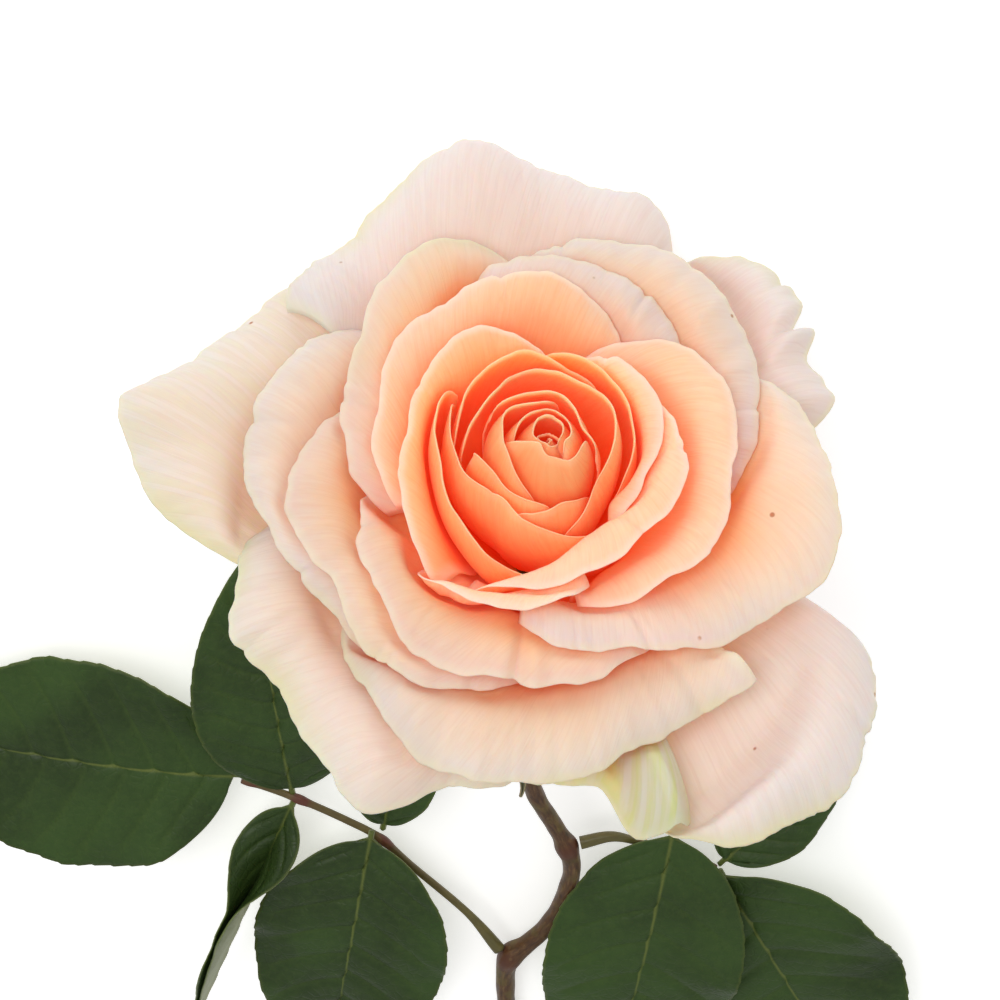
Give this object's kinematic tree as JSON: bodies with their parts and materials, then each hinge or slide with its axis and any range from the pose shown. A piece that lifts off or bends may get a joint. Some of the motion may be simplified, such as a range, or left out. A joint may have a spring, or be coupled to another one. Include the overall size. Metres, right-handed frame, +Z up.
{
  "type": "cut rose",
  "caption": "Open peach rose cut with its stem and two leaves, lying on its side with the bloom turned up and outwards.",
  "frame": {"origin": "on the table under the middle of the rose's bounding box", "axes": "+Z up from the table, +Y from the cut end of the stem towards the bloom, +X to the right seen from above the stem"},
  "size_m": [0.1868, 0.2736, 0.0993],
  "materials": {
    "petal_heart": "soft satin petal, deep orange with a pale rim",
    "petal_inner": "soft satin petal, orange at the foot and peach at the rim",
    "petal_middle": "soft satin petal, peach with a cream rim",
    "petal_guard": "soft satin petal, pinkish cream with yellow-green edges",
    "sepal": "matt green, finely haired",
    "leaf": "waxy dark green with an olive midrib",
    "leaf_stalk": "smooth olive and red-brown bark",
    "stem": "smooth brown bark, olive at the leaf nodes"
  },
  "bodies": {
    "root": {"petal_heart_1": "petal_heart", "petal_heart_2": "petal_heart", "petal_heart_3": "petal_heart", "petal_heart_4": "petal_heart", "petal_heart_5": "petal_heart", "petal_heart_6": "petal_heart", "petal_heart_7": "petal_heart", "petal_heart_8": "petal_heart", "petal_heart_9": "petal_heart", "petal_heart_10": "petal_heart", "petal_heart_11": "petal_heart", "petal_heart_12": "petal_heart", "petal_inner_1": "petal_inner", "petal_inner_2": "petal_inner", "petal_inner_3": "petal_inner", "petal_inner_4": "petal_inner", "petal_inner_5": "petal_inner", "petal_inner_6": "petal_inner", "petal_middle_1": "petal_middle", "petal_middle_2": "petal_middle", "petal_middle_3": "petal_middle", "petal_middle_4": "petal_middle", "petal_middle_5": "petal_middle", "petal_middle_6": "petal_middle", "petal_middle_7": "petal_middle", "petal_middle_8": "petal_middle", "petal_guard_1": "petal_guard", "petal_guard_2": "petal_guard", "petal_guard_3": "petal_guard", "petal_guard_4": "petal_guard", "petal_guard_5": "petal_guard", "petal_guard_6": "petal_guard", "sepal_1": "sepal", "sepal_2": "sepal", "sepal_3": "sepal", "sepal_4": "sepal", "sepal_5": "sepal", "stem": "stem", "leaf_left_rachis": "leaf_stalk", "leaf_right_rachis": "leaf_stalk", "leaf_left_terminal": "leaf", "leaf_left_upper_2": "leaf", "leaf_left_lower_2": "leaf", "leaf_left_upper_1": "leaf", "leaf_left_lower_1": "leaf", "leaf_right_terminal": "leaf", "leaf_right_lower": "leaf", "leaf_right_upper": "leaf"}
  },
  "joints": []
}
